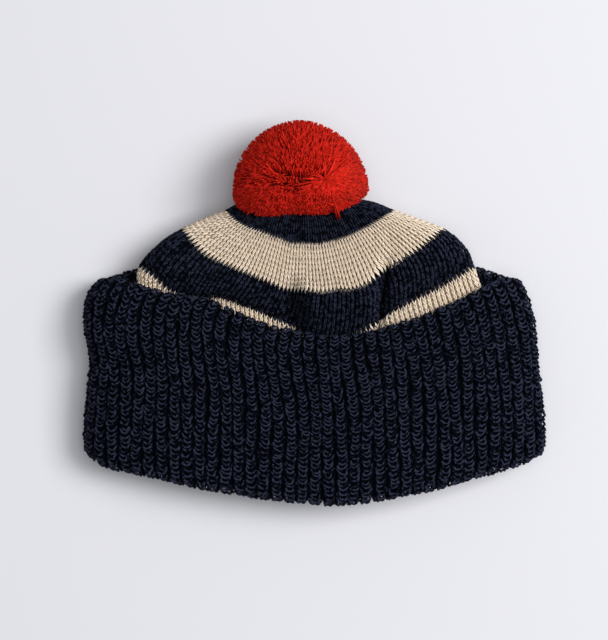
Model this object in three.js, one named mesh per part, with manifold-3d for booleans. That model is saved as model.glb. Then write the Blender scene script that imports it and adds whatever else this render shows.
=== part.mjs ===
import * as THREE from 'three';
import { mergeVertices } from 'three/addons/utils/BufferGeometryUtils.js';
import Module from 'manifold-3d';

// A striped rib-knit hat with a turn-up and a pompom, lying on its back.
// X runs across the hat, Y from the mouth to the pompom, Z up. Millimetres.

// Driving sizes
const hatWidth = 261;        // across the turn-up where it is widest
const turnUpHeight = 101;    // from the mouth's corner to the turn-up's corner
const turnUpDepth = 42;      // of the lying turn-up, above the surface it lies on
const sideLength = 150;      // from the mouth's corner to the crown's tip
const crownWidth = 196;      // across the crown where it leaves the turn-up
const crownDepth = 47;       // top of the crown above the surface it lies on
const mouthSag = 28;         // how far the front hangs past the mouth's corners
const backMouthSag = 15;     // the same for the back, which lies underneath
const rimSag = 32;           // how far the turn-up's front rim dips at its lowest
const backRimRise = 12;      // how far the back rim rises at the middle
const crownSag = 38;         // how far the crown's front slumps towards the mouth
const knitWall = 5;          // one layer of the ribbed knit
const pocketGap = 1.2;       // between the turn-up and the layer it covers
const flattening = 3;        // how far the underside is pressed flat
const ribCount = 76;
const ribDepth = 1.7;        // groove between two ribs of the turn-up
const stripeGap = 0.35;      // between neighbouring knitted pieces
const pompomGap = 0.4;       // between the crown's tip and the pompom
const pompomWidth = 76;
const pompomLength = 55;
const pompomHeight = 57;
const pompomSeat = 16.5;     // how far the crown's tip reaches into the pompom
const pompomShift = -2;      // of the pompom sideways from the crown's tip
const pompomLift = 0.3;      // of the pompom above the surface that the turn-up lies on
const pompomBelow = 0.31;    // share of the pompom's length below its widest line
const lockCount = 28;
const lockWidth = 20;

// Where each knitted piece ends, as shares of the side length
const coveredTop = 0.54;     // plain layer inside the turn-up
const lowerCreamTop = 0.713;
const navyTop = 0.862;
const upperCreamTop = 0.932;

const halfWidth = hatWidth / 2;
const halfCrown = crownWidth / 2;
const foldThickness = 2 * knitWall + pocketGap;
const inset = knitWall + pocketGap;

// Sections of the turn-up. along is a share of its height, half and shift of the half width,
// top of its depth; rim tells how far the section follows the rim's curve, not the mouth's.
const turnUpTable = [
  { along: 0.00, half: 0.995, shift: 0.000, top: 0.74, rim: 0.0 },
  { along: 0.10, half: 1.000, shift: 0.000, top: 0.87, rim: 0.05 },
  { along: 0.44, half: 0.978, shift: -0.001, top: 0.97, rim: 0.3 },
  { along: 0.56, half: 0.970, shift: -0.004, top: 0.98, rim: 0.45 },
  { along: 0.75, half: 0.977, shift: -0.022, top: 1.00, rim: 0.75 },
  { along: 0.91, half: 0.950, shift: -0.032, top: 1.00, rim: 0.95 },
  { along: 1.00, half: 0.910, shift: -0.025, top: 0.96, rim: 1.0 },
];

// Sections of the crown. along is a share of the side length, half and shift of the half crown,
// sag of the crown's sag, top and base of the crown's depth; rim tells how far the section
// follows the rim's curve, not the crown's.
const crownTable = [
  { along: 0.62, half: 1.00, shift: -0.025, sag: 0.90, top: 0.70, base: 0.135, rim: 0.8 },
  { along: 0.713, half: 0.965, shift: -0.045, sag: 0.95, top: 0.70, base: 0.135, rim: 0.6 },
  { along: 0.771, half: 0.915, shift: -0.030, sag: 1.00, top: 0.87, base: 0.13, rim: 0.25 },
  { along: 0.823, half: 0.840, shift: -0.018, sag: 1.00, top: 0.98, base: 0.08, rim: 0.0 },
  { along: 0.862, half: 0.730, shift: -0.010, sag: 0.96, top: 1.00, base: 0.05, rim: 0.0 },
  { along: 0.90, half: 0.590, shift: -0.020, sag: 0.78, top: 0.97, base: 0.05, rim: 0.0 },
  { along: 0.935, half: 0.450, shift: -0.040, sag: 0.52, top: 0.91, base: 0.11, rim: 0.0 },
  { along: 0.97, half: 0.310, shift: -0.055, sag: 0.20, top: 0.82, base: 0.26, rim: 0.0 },
  { along: 1.00, half: 0.000, shift: -0.060, sag: 0.00, top: 0.60, base: 0.60, rim: 0.0 },
];

// Dip of the front across the hat, as shares: at the mouth, at the turn-up's rim and in the
// crown; across is a share of the section's half width
const dipCurves = [
  { across: -1.0, mouth: 0.00, rim: 0.00, crown: 0.00 },
  { across: -0.93, mouth: 0.22, rim: 0.08, crown: 0.19 },
  { across: -0.8, mouth: 0.355, rim: 0.21, crown: 0.42 },
  { across: -0.5, mouth: 0.67, rim: 0.34, crown: 0.69 },
  { across: -0.2, mouth: 0.89, rim: 0.69, crown: 0.95 },
  { across: 0.1, mouth: 1.00, rim: 1.00, crown: 0.96 },
  { across: 0.4, mouth: 0.815, rim: 0.82, crown: 0.79 },
  { across: 0.7, mouth: 0.47, rim: 0.42, crown: 0.45 },
  { across: 0.9, mouth: 0.21, rim: 0.15, crown: 0.17 },
  { across: 1.0, mouth: 0.00, rim: 0.00, crown: 0.00 },
];

// Folds in the upper face. across and breadth are shares of the half width, along and length of
// the side length, rise of the knit's wall, slump of the crown's sag; turn is in degrees, and a
// higher edge makes the fold's flanks steeper.
const turnUpFolds = [
  { across: 0.00, along: 0.245, breadth: 0.075, length: 0.26, rise: -0.55, slump: 0, turn: 67, edge: 2 },
  { across: -0.96, along: 0.35, breadth: 0.10, length: 0.05, rise: -0.50, slump: 0, turn: 0, edge: 2 },
  { across: 0.42, along: 0.36, breadth: 0.06, length: 0.22, rise: -0.30, slump: 0, turn: 20, edge: 2 },
];
const crownFolds = [
  { across: 0.11, along: 0.605, breadth: 0.165, length: 0.08, rise: 1.2, slump: 0, turn: 0, edge: 6 },
  { across: 0.11, along: 0.455, breadth: 0.18, length: 0.10, rise: 0, slump: 0.19, turn: 0, edge: 4 },
  { across: -0.085, along: 0.57, breadth: 0.04, length: 0.13, rise: -1.6, slump: 0, turn: 6, edge: 2 },
  { across: 0.295, along: 0.60, breadth: 0.03, length: 0.10, rise: -1.2, slump: 0, turn: -10, edge: 2 },
  { across: -0.57, along: 0.64, breadth: 0.13, length: 0.08, rise: 0, slump: 0.12, turn: 0, edge: 4 },
];

function columnAt(rows, key, column, place) {
  // Smooth cubic through the rows of a table
  const last = rows.length - 1;
  let i = 0;
  while (i < last - 1 && place > rows[i + 1][key]) {
    i += 1;
  }
  const slope = (k) => {
    const a = rows[Math.max(k - 1, 0)];
    const b = rows[Math.min(k + 1, last)];
    return (b[column] - a[column]) / (b[key] - a[key]);
  };
  const start = rows[i];
  const end = rows[i + 1];
  const span = end[key] - start[key];
  const t = THREE.MathUtils.clamp((place - start[key]) / span, 0, 1);
  const bend = t * t * (3 - 2 * t);
  const out = t * (1 - t) * (1 - t) * span;
  const into = t * t * (t - 1) * span;
  return start[column] * (1 - bend) + end[column] * bend + slope(i) * out + slope(i + 1) * into;
}

function turnUpSection(row) {
  return {
    level: row.along * turnUpHeight / sideLength,
    half: row.half * halfWidth,
    shift: row.shift * halfWidth,
    frontSag: THREE.MathUtils.lerp(mouthSag, rimSag, row.rim),
    backSag: THREE.MathUtils.lerp(backMouthSag, -backRimRise, row.rim),
    rim: row.rim,
    crown: 0,
    top: row.top * turnUpDepth,
    base: -flattening,
  };
}

function coveredSection(section) {
  // The layer under the turn-up lies inside it all round
  return {
    ...section,
    half: section.half - inset,
    top: section.top - inset,
    base: inset,
  };
}

function crownSection(row) {
  return {
    level: row.along,
    half: row.half * halfCrown,
    shift: row.shift * halfCrown,
    frontSag: row.sag * crownSag,
    backSag: 0,
    rim: row.rim,
    crown: 1 - row.rim,
    top: row.top * crownDepth,
    base: row.base * crownDepth,
  };
}

const turnUpSections = turnUpTable.map(turnUpSection);
const bodySections = [
  ...turnUpSections.filter((section) => section.level < coveredTop - 0.1).map(coveredSection),
  ...crownTable.map(crownSection),
];
const rimLevel = turnUpHeight / sideLength;

function foldWeight(fold, x, y) {
  const angle = THREE.MathUtils.degToRad(fold.turn);
  const dx = x - fold.across * halfWidth;
  const dy = y - fold.along * sideLength;
  const p = dx * Math.cos(angle) + dy * Math.sin(angle);
  const q = dy * Math.cos(angle) - dx * Math.sin(angle);
  const wide = Math.abs(p) / (fold.breadth * halfWidth);
  const long = Math.abs(q) / (fold.length * sideLength);
  return Math.exp(-(wide ** fold.edge) - long ** 2);
}

// A skin is one knitted surface: its sections, its folds, and the columns round each section
const turnUpSkin = { sections: turnUpSections, folds: turnUpFolds, rings: new Map() };
const bodySkin = { sections: bodySections, folds: [...turnUpFolds, ...crownFolds], rings: new Map() };

const upperPower = 2.5;
const lowerPower = 3.2;
const roundPower = 1.9;
const squarePower = 4;
const sideShare = 0.42;
const outlineSteps = 720;

function outlinePoint(section, angle, sink = 0) {
  // A flattened ring, fuller above its side edges than below; sink shrinks it all round
  const cos = Math.cos(angle);
  const sin = Math.sin(angle);
  const power = 2 / (sin > 0 ? upperPower : lowerPower);
  const side = THREE.MathUtils.lerp(section.base, section.top, sideShare);
  const reach = sin > 0 ? section.top - side : side - section.base;
  return {
    x: section.shift + (section.half - sink) * Math.sign(cos) * Math.abs(cos) ** power,
    z: side + (reach - sink) * Math.sign(sin) * Math.abs(sin) ** power,
  };
}

function ringAt(skin, level) {
  // The section at one level, and the lengths along its outline
  const key = level.toFixed(6);
  if (skin.rings.has(key)) {
    return skin.rings.get(key);
  }
  const section = {};
  for (const name of ['half', 'shift', 'frontSag', 'backSag', 'rim', 'crown', 'top', 'base']) {
    section[name] = columnAt(skin.sections, 'level', name, level);
  }
  const lengths = [0];
  let before = outlinePoint(section, 0);
  for (let i = 1; i <= outlineSteps; i += 1) {
    const point = outlinePoint(section, i / outlineSteps * 2 * Math.PI);
    lengths.push(lengths[i - 1] + Math.hypot(point.x - before.x, point.z - before.z));
    before = point;
  }
  const ring = { section, lengths, pitch: lengths[outlineSteps] / ribCount };
  skin.rings.set(key, ring);
  return ring;
}

function angleOnRing(ring, turn) {
  // The angle that lies a share of the way round the ring's outline
  const wanted = (turn - Math.floor(turn)) * ring.lengths[outlineSteps];
  let low = 0;
  let high = outlineSteps;
  while (high - low > 1) {
    const middle = Math.floor((low + high) / 2);
    if (ring.lengths[middle] <= wanted) {
      low = middle;
    } else {
      high = middle;
    }
  }
  const span = ring.lengths[high] - ring.lengths[low];
  const part = span > 0 ? (wanted - ring.lengths[low]) / span : 0;
  return (low + part) / outlineSteps * 2 * Math.PI;
}

function frontDip(section, across) {
  const curve = (name) => columnAt(dipCurves, 'across', name, across);
  const mouthShare = 1 - section.rim - section.crown;
  return mouthShare * curve('mouth') + section.rim * curve('rim') + section.crown * curve('crown');
}

function backDip(section, across) {
  // Rounded at the mouth, squarer at the rim
  const round = 1 - Math.abs(across) ** roundPower;
  const square = 1 - Math.abs(across) ** squarePower;
  return THREE.MathUtils.lerp(round, square, section.rim);
}

function skinPoint(skin, turn, level, sink = 0) {
  const ring = ringAt(skin, level);
  const { section } = ring;
  const angle = angleOnRing(ring, turn);
  const outer = outlinePoint(section, angle);
  const upper = angle < Math.PI;
  const across = section.half > 0 ? (outer.x - section.shift) / section.half : 0;
  const sag = upper ? section.frontSag * frontDip(section, across) : section.backSag * backDip(section, across);
  const flatY = level * sideLength - sag;
  const { x, z } = outlinePoint(section, angle, sink);
  const point = new THREE.Vector3(x, flatY, z);
  if (upper) {
    const height = (outer.z - section.base) / (section.top - section.base + 1e-6);
    for (const fold of skin.folds) {
      const weight = foldWeight(fold, outer.x, flatY) * height * height;
      point.z += fold.rise * knitWall * weight;
      point.y -= fold.slump * crownSag * weight;
    }
  }
  return point;
}

const probe = 0.002;

function placeOn(skin, turn, spot) {
  // A point under the skin: slid along the knit and sunk by its depth
  const level = Math.min(Math.max(spot.level, probe), 1 - probe);
  const above = skinPoint(skin, turn, level + probe);
  const below = skinPoint(skin, turn, level - probe);
  const left = skinPoint(skin, turn + probe, level);
  const right = skinPoint(skin, turn - probe, level);
  const along = above.sub(below).normalize();
  const normal = along.clone().cross(left.sub(right)).normalize();
  const inPlane = Math.hypot(normal.x, normal.z);
  const point = skinPoint(skin, turn, spot.level, spot.depth * inPlane);
  point.addScaledVector(along, spot.slide ?? 0);
  point.y -= spot.depth * normal.y;
  return point;
}

function ribGroove(skin, spot, column) {
  // Every other column lies in a groove, shallower where the ribs draw together
  const pitch = ringAt(skin, spot.level).pitch;
  const widest = ringAt(turnUpSkin, rimLevel / 2).pitch;
  return spot.ribbed && column % 2 === 1 ? ribDepth * Math.min(pitch / widest, 1) : 0;
}

function ringPoints(spot, columns) {
  const points = [];
  for (let column = 0; column < columns; column += 1) {
    const depth = spot.depth + ribGroove(spot.skin, spot, column);
    const point = placeOn(spot.skin, column / columns, { ...spot, depth });
    point.z = Math.max(point.z, spot.floor ?? 0);
    points.push(point);
  }
  return points;
}

function ringSolid(spots, startPole, endPole, columns = 2 * ribCount) {
  // Rings joined in turn; the last meets the first, or both ends close on a pole. Mirrored strips
  // split their faces the other way, as the neighbouring piece does.
  const positions = [];
  const indices = [];
  for (const spot of spots) {
    for (const point of ringPoints(spot, columns)) {
      positions.push(point.x, point.y, point.z);
    }
  }
  const rings = spots.length;
  const strips = startPole ? rings - 1 : rings;
  for (let ring = 0; ring < strips; ring += 1) {
    for (let column = 0; column < columns; column += 1) {
      const next = (column + 1) % columns;
      const a = ring * columns + column;
      const b = ring * columns + next;
      const c = ((ring + 1) % rings) * columns + next;
      const d = ((ring + 1) % rings) * columns + column;
      indices.push(...(spots[ring].mirrored ? [a, b, d, b, c, d] : [a, b, c, a, c, d]));
    }
  }
  if (startPole) {
    const first = positions.length / 3;
    positions.push(...startPole.toArray(), ...endPole.toArray());
    for (let column = 0; column < columns; column += 1) {
      const next = (column + 1) % columns;
      const end = (rings - 1) * columns;
      indices.push(first, next, column);
      indices.push(first + 1, end + column, end + next);
    }
  }
  const geometry = new THREE.BufferGeometry();
  geometry.setAttribute('position', new THREE.Float32BufferAttribute(positions, 3));
  geometry.setIndex(indices);
  return geometry;
}

const onTurnUp = (level, depth, extra = {}) => ({ skin: turnUpSkin, level, depth, ...extra });
const onBody = (level, depth, extra = {}) => ({ skin: bodySkin, level, depth, ...extra });

function cuffGeometry() {
  // The turn-up, the fold at the mouth and the layer that it covers, as one knitted piece
  const rounding = knitWall / 2;
  const foldRounding = foldThickness / 2;
  return ringSolid([
    onTurnUp(0, foldRounding),
    onTurnUp(0, foldThickness, { slide: foldRounding }),
    onBody(coveredTop * 0.55, knitWall, { floor: foldThickness }),
    onBody(coveredTop, knitWall, { slide: -stripeGap / 2 }),
    onBody(coveredTop, 0, { slide: -stripeGap / 2, ribbed: true }),
    onBody(coveredTop * 0.5, 0, { floor: inset }),
    onTurnUp(0, knitWall + pocketGap / 2, { slide: foldThickness, floor: knitWall + pocketGap / 2 }),
    onTurnUp(rimLevel * 0.6, knitWall, { floor: knitWall }),
    onTurnUp(rimLevel, knitWall, { slide: -rounding, floor: knitWall }),
    onTurnUp(rimLevel, rounding),
    onTurnUp(rimLevel, 0, { slide: -rounding, ribbed: true }),
    onTurnUp(rimLevel * 0.75, 0, { ribbed: true }),
    onTurnUp(rimLevel * 0.5, 0, { ribbed: true }),
    onTurnUp(rimLevel * 0.25, 0, { ribbed: true }),
    onTurnUp(0, 0, { slide: foldRounding, ribbed: true }),
  ]);
}

function stripeGeometry(from, to, outerLevels) {
  const slide = stripeGap / 2;
  const between = outerLevels.map((level) => onBody(level, 0, { ribbed: true }));
  return ringSolid([
    onBody(from, knitWall, { slide }),
    onBody(to, knitWall, { slide: -slide }),
    onBody(to, 0, { slide: -slide, ribbed: true }),
    ...between.reverse(),
    onBody(from, 0, { slide, ribbed: true, mirrored: true }),
  ]);
}

function crownPole(depth) {
  const point = skinPoint(bodySkin, 0, 1);
  point.y -= depth;
  return point;
}

function tipGeometry() {
  const slide = stripeGap / 2;
  return ringSolid([
    onBody(0.972, 0, { ribbed: true }),
    onBody(upperCreamTop, 0, { slide, ribbed: true, mirrored: true }),
    onBody(upperCreamTop, knitWall, { slide }),
    onBody(0.975, knitWall),
  ], crownPole(0), crownPole(knitWall));
}

const wasm = await Module();
wasm.setup();

function toManifold(geometry) {
  const bare = geometry.clone();
  bare.deleteAttribute('normal');
  bare.deleteAttribute('uv');
  const merged = mergeVertices(bare, 1e-4);
  return new wasm.Manifold(new wasm.Mesh({
    numProp: 3,
    vertProperties: new Float32Array(merged.attributes.position.array),
    triVerts: new Uint32Array(merged.index.array),
  }));
}

function toGeometry(solid) {
  const mesh = solid.getMesh();
  const geometry = new THREE.BufferGeometry();
  geometry.setAttribute('position', new THREE.Float32BufferAttribute(mesh.vertProperties, 3));
  geometry.setIndex(Array.from(mesh.triVerts));
  return geometry;
}

function crownForm() {
  // The crown's upper end as a full solid, grown by the gap that the pompom keeps
  const levels = [0.99, 0.97, 0.94, 0.90, 0.86, 0.81];
  const base = skinPoint(bodySkin, 0, levels.at(-1));
  base.x = 0;
  base.z = crownDepth / 2;
  const spots = levels.map((level) => onBody(level, -pompomGap));
  return ringSolid(spots, crownPole(-pompomGap), base, ribCount);
}

function lockGeometry(direction, reach) {
  // One tuft of strands: a blunt, tapering lock that starts inside the ball
  const root = 0.5;
  const length = reach * (1 - root);
  const lock = new THREE.CylinderGeometry(lockWidth * 0.3, lockWidth / 2, length, 5, 1);
  lock.translate(0, reach * root + length / 2, 0);
  const up = new THREE.Vector3(0, 1, 0);
  lock.applyQuaternion(new THREE.Quaternion().setFromUnitVectors(up, direction));
  return lock;
}

function pompomGeometry() {
  const pole = crownPole(0);
  const radii = new THREE.Vector3(pompomWidth / 2, pompomLength / 2, pompomHeight / 2);
  const ball = new THREE.IcosahedronGeometry(0.88, 2);
  ball.scale(radii.x, radii.y, radii.z);
  let solid = toManifold(ball);
  const golden = Math.PI * (3 - Math.sqrt(5));
  for (let i = 0; i < lockCount; i += 1) {
    const y = 1 - (2 * i + 1) / lockCount;
    const ring = Math.sqrt(1 - y * y);
    const unit = new THREE.Vector3(Math.cos(golden * i) * ring, y, Math.sin(golden * i) * ring);
    const surface = unit.clone().multiply(radii);
    const reach = surface.length();
    solid = solid.add(toManifold(lockGeometry(surface.normalize(), reach)));
  }
  solid = solid.warp((point) => {
    point[1] *= 2 * (point[1] > 0 ? 1 - pompomBelow : pompomBelow);
  });
  const { min } = solid.boundingBox();
  solid = solid.translate([pole.x + pompomShift, pole.y - min[1] - pompomSeat, pompomLift - min[2]]);
  return toGeometry(solid.subtract(toManifold(crownForm())));
}

const navyWool = () => new THREE.MeshStandardMaterial({ color: 0x191b27, roughness: 0.95, metalness: 0 });
const creamWool = () => new THREE.MeshStandardMaterial({ color: 0xcdb89c, roughness: 0.95, metalness: 0 });
const redWool = () => new THREE.MeshStandardMaterial({ color: 0xb9200f, roughness: 0.9, metalness: 0 });

function piece(name, geometry, material) {
  geometry.computeVertexNormals();
  const mesh = new THREE.Mesh(geometry, material);
  mesh.name = name;
  return mesh;
}

const hat = new THREE.Group();
hat.add(
  piece('cuff', cuffGeometry(), navyWool()),
  piece('lower_cream_stripe', stripeGeometry(coveredTop, lowerCreamTop, []), creamWool()),
  piece('navy_stripe', stripeGeometry(lowerCreamTop, navyTop, [0.79]), navyWool()),
  piece('upper_cream_stripe', stripeGeometry(navyTop, upperCreamTop, [0.90]), creamWool()),
  piece('crown_tip', tipGeometry(), navyWool()),
  piece('pompom', pompomGeometry(), redWool()),
);

// The origin is under the middle of the lying hat
const box = new THREE.Box3().setFromObject(hat);
const middle = box.getCenter(new THREE.Vector3());
hat.position.set(-middle.x, -middle.y, -box.min.z);

export default hat;
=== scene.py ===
import math
import bpy
import numpy as np
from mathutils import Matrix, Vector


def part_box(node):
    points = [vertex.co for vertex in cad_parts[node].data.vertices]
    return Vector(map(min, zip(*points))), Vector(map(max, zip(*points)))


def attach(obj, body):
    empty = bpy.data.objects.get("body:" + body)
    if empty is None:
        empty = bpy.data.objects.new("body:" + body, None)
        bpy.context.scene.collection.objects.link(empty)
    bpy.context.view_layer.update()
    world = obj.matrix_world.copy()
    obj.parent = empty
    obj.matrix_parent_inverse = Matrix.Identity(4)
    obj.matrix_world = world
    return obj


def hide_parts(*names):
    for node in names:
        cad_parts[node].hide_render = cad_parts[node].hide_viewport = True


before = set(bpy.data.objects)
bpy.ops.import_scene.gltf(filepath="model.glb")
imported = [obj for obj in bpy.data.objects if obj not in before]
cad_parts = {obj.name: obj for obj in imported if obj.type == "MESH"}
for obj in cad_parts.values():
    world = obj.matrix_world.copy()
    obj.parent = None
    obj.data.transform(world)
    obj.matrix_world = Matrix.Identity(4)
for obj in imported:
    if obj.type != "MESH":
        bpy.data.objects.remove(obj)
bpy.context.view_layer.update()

cuffBox = [np.array(corner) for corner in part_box("cuff")]
pompomBox = [np.array(corner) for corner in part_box("pompom")]
bpy.ops.object.select_all(action='DESELECT')

# the lying hat, in metres: x across, y from the mouth to the pompom, z up
hatSizes = {
    'halfWidth': 0.1305,
    'turnUpHeight': 0.101,
    'turnUpDepth': 0.042,
    'sideLength': 0.150,
    'halfCrown': 0.098,
    'crownDepth': 0.047,
    'mouthSag': 0.028,
    'backMouthSag': 0.015,
    'rimSag': 0.032,
    'backRimRise': 0.012,
    'crownSag': 0.038,
    'wall': 0.005,
    'pocketGap': 0.0012,
    'flattening': 0.003,
    'ribs': 76,
    'coveredTop': 0.54,
    'lowerCreamTop': 0.713,
    'navyTop': 0.862,
    'upperCreamTop': 0.932,
    'upperPower': 2.5,
    'lowerPower': 3.2,
    'sideShare': 0.42,
    'roundPower': 1.9,
    'squarePower': 4,
}

# along, half, shift, top and rim of the turn-up, as in the solids
turnUpTable = np.array([
    [0.00, 0.995, 0.000, 0.74, 0.0],
    [0.10, 1.000, 0.000, 0.87, 0.05],
    [0.44, 0.978, -0.001, 0.97, 0.3],
    [0.56, 0.970, -0.004, 0.98, 0.45],
    [0.75, 0.977, -0.022, 1.00, 0.75],
    [0.91, 0.950, -0.032, 1.00, 0.95],
    [1.00, 0.910, -0.025, 0.96, 1.0],
])

# along, half, shift, sag, top, base and rim of the crown, a little wider than the solids from 0.862 on
crownTable = np.array([
    [0.62, 1.00, -0.025, 0.90, 0.70, 0.135, 0.8],
    [0.713, 0.965, -0.045, 0.95, 0.70, 0.135, 0.6],
    [0.771, 0.915, -0.030, 1.00, 0.87, 0.13, 0.25],
    [0.823, 0.840, -0.018, 1.00, 0.98, 0.08, 0.0],
    [0.862, 0.745, -0.010, 0.96, 1.00, 0.05, 0.0],
    [0.90, 0.610, -0.020, 0.78, 0.97, 0.05, 0.0],
    [0.935, 0.475, -0.030, 0.52, 0.91, 0.11, 0.0],
    [0.97, 0.335, -0.040, 0.20, 0.82, 0.26, 0.0],
    [1.00, 0.000, -0.060, 0.00, 0.60, 0.60, 0.0],
])

# across, then the dip of the front at the mouth, at the rim and in the crown
dipCurves = np.array([
    [-1.0, 0.00, 0.00, 0.00],
    [-0.93, 0.22, 0.08, 0.19],
    [-0.8, 0.355, 0.21, 0.42],
    [-0.5, 0.67, 0.34, 0.69],
    [-0.35, 0.78, 0.57, 0.82],
    [-0.2, 0.89, 0.79, 0.95],
    [-0.1, 0.93, 0.88, 0.953],
    [0.1, 1.00, 1.00, 0.96],
    [0.4, 0.815, 0.82, 0.79],
    [0.7, 0.47, 0.42, 0.45],
    [0.9, 0.21, 0.15, 0.17],
    [1.0, 0.00, 0.00, 0.00],
])

# across, along, breadth, length, rise, slump, turn and flank of each fold; a higher flank is steeper
turnUpFolds = [
    [0.00, 0.245, 0.075, 0.26, -0.55, 0, 67, 2],
    [-0.96, 0.35, 0.10, 0.05, -0.50, 0, 0, 2],
    [0.42, 0.36, 0.06, 0.22, -0.30, 0, 20, 2],
    [-0.82, 0.655, 0.13, 0.08, 0, -0.16, 0, 2],
    [0.82, 0.655, 0.13, 0.08, 0, -0.16, 0, 2],
]
crownFolds = [
    [0.11, 0.605, 0.165, 0.08, 1.2, 0, 0, 6],
    [0.11, 0.455, 0.18, 0.10, 0, 0.19, 0, 4],
    [-0.085, 0.56, 0.05, 0.085, -2.5, 0, 6, 2],
    [-0.18, 0.585, 0.09, 0.09, -1.5, 0, 6, 2],
    [0.290, 0.61, 0.028, 0.13, -3.2, 0, -8, 2],
    [0.19, 0.674, 0.075, 0.05, 0, 0.07, 0, 6],
    [-0.19, 0.54, 0.16, 0.06, 0, -0.07, 0, 2],
    [-0.57, 0.64, 0.13, 0.08, 0, 0.12, 0, 4],
]


def columnsAt(table, place):
    # smooth cubic through the rows, for all columns past the first
    keys = table[:, 0]
    place = np.asarray(place, dtype=float)
    last = len(keys) - 1
    i = np.clip(np.searchsorted(keys, place, side='left') - 1, 0, last - 1)
    slopes = np.empty_like(table)
    for k in range(last + 1):
        a, b = max(k - 1, 0), min(k + 1, last)
        slopes[k] = (table[b] - table[a]) / (keys[b] - keys[a])
    span = keys[i + 1] - keys[i]
    t = np.clip((place - keys[i]) / span, 0, 1)[..., None]
    span = span[..., None]
    bend = t * t * (3 - 2 * t)
    return (table[i] * (1 - bend) + table[i + 1] * bend + slopes[i] * t * (1 - t) ** 2 * span
            + slopes[i + 1] * t * t * (t - 1) * span)[..., 1:]


def lerp(a, b, t):
    return a + (b - a) * t


def makeSections(s):
    # level, half, shift, front sag, back sag, top, base, then the shares of the three dip curves
    inset = s['wall'] + s['pocketGap']
    turnUp = np.array([[
        along * s['turnUpHeight'] / s['sideLength'], half * s['halfWidth'], shift * s['halfWidth'],
        lerp(s['mouthSag'], s['rimSag'], rim), lerp(s['backMouthSag'], -s['backRimRise'], rim),
        top * s['turnUpDepth'], -s['flattening'], 1 - rim, rim, 0,
    ] for along, half, shift, top, rim in turnUpTable])
    covered = turnUp[turnUp[:, 0] < s['coveredTop'] - 0.1].copy()
    covered[:, 1] -= inset
    covered[:, 5] -= inset
    covered[:, 6] = inset
    crown = np.array([[
        along, half * s['halfCrown'], shift * s['halfCrown'], sag * s['crownSag'], 0,
        top * s['crownDepth'], base * s['crownDepth'], 0, rim, 1 - rim,
    ] for along, half, shift, sag, top, base, rim in crownTable])
    return turnUp, np.vstack([covered, crown])


def outline(section, angle, sink, s):
    half, shift, _, _, top, base = section[:6]
    cos, sin = np.cos(angle), np.sin(angle)
    power = np.where(sin > 0, 2 / s['upperPower'], 2 / s['lowerPower'])
    side = lerp(base, top, s['sideShare'])
    reach = np.where(sin > 0, top - side, side - base)
    x = shift + (half - sink) * np.sign(cos) * np.abs(cos) ** power
    z = side + (reach - sink) * np.sign(sin) * np.abs(sin) ** power
    return x, z


def skinRow(skin, level, turns, sink, s):
    # one level of a skin, at evenly spread places round it
    section = columnsAt(skin['sections'], min(max(level, 0), 1))
    steps = np.linspace(0, 2 * math.pi, 721)
    ox, oz = outline(section, steps, 0, s)
    lengths = np.concatenate([[0], np.cumsum(np.hypot(np.diff(ox), np.diff(oz)))])
    angle = np.interp((turns % 1) * lengths[-1], lengths, steps)
    half, shift, frontSag, backSag, top, base = section[:6]
    outerX, outerZ = outline(section, angle, 0, s)
    x, z = outline(section, angle, sink, s)
    upper = angle < math.pi
    across = (outerX - shift) / half if half > 0 else np.zeros_like(x)
    frontDip = columnsAt(dipCurves, across) @ section[6:]
    edge = np.abs(across)
    backDip = lerp(1 - edge ** s['roundPower'], 1 - edge ** s['squarePower'], section[7])
    flatY = level * s['sideLength'] - np.where(upper, frontSag * frontDip, backSag * backDip)
    y = flatY.copy()
    height = np.clip((outerZ - base) / (top - base + 1e-9), 0, 1)
    for atX, atY, breadth, length, rise, slump, turn, flank in skin['folds']:
        tilt = math.radians(turn)
        dx, dy = outerX - atX * s['halfWidth'], flatY - atY * s['sideLength']
        p = np.abs(dx * math.cos(tilt) + dy * math.sin(tilt)) / (breadth * s['halfWidth'])
        q = np.abs(dy * math.cos(tilt) - dx * math.sin(tilt)) / (length * s['sideLength'])
        weight = np.exp(-(p ** flank) - q ** 2) * height ** 2 * upper
        z = z + rise * s['wall'] * weight
        y = y - slump * s['crownSag'] * weight
    return np.stack([x, y, z], axis=-1)


def unit(v):
    return v / np.maximum(np.linalg.norm(v, axis=-1, keepdims=True), 1e-12)


def spotRow(spot, turns, s):
    # a row of points slid along the knit and sunk under the skin
    skin, level, slide, depth, floor = spot
    probe = 0.002
    near = min(max(level, probe), 1 - probe)
    along = unit(skinRow(skin, near + probe, turns, 0, s) - skinRow(skin, near - probe, turns, 0, s))
    around = skinRow(skin, near, turns + probe, 0, s) - skinRow(skin, near, turns - probe, 0, s)
    normal = unit(np.cross(along, around))
    inPlane = np.hypot(normal[:, 0], normal[:, 2])
    row = skinRow(skin, level, turns, depth * inPlane, s) + along * slide
    row[:, 1] -= depth * normal[:, 1]
    row[:, 2] = np.maximum(row[:, 2], floor)
    return row


turnUpSections, bodySections = makeSections(hatSizes)
turnUpSkin = {'sections': turnUpSections, 'folds': turnUpFolds}
bodySkin = {'sections': bodySections, 'folds': turnUpFolds + crownFolds}
rimLevel = hatSizes['turnUpHeight'] / hatSizes['sideLength']
# two layers of knit with the pocket between them
foldThickness = 2 * hatSizes['wall'] + hatSizes['pocketGap']
# columns of points for each rib, in the surfaces that carry the stitches and in the walls
gridPerRib = 10
wallPerRib = 5
gridTurns = np.arange(hatSizes['ribs'] * gridPerRib) / (hatSizes['ribs'] * gridPerRib)
# lowest height above the table of each kind of piece
tableGaps = {'stitch': 0.0002, 'strand': 0.0003, 'wall': 0.0004}
# share of its cell in the bake map that a stitch or a strand fills
cellShare = 0.94


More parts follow.
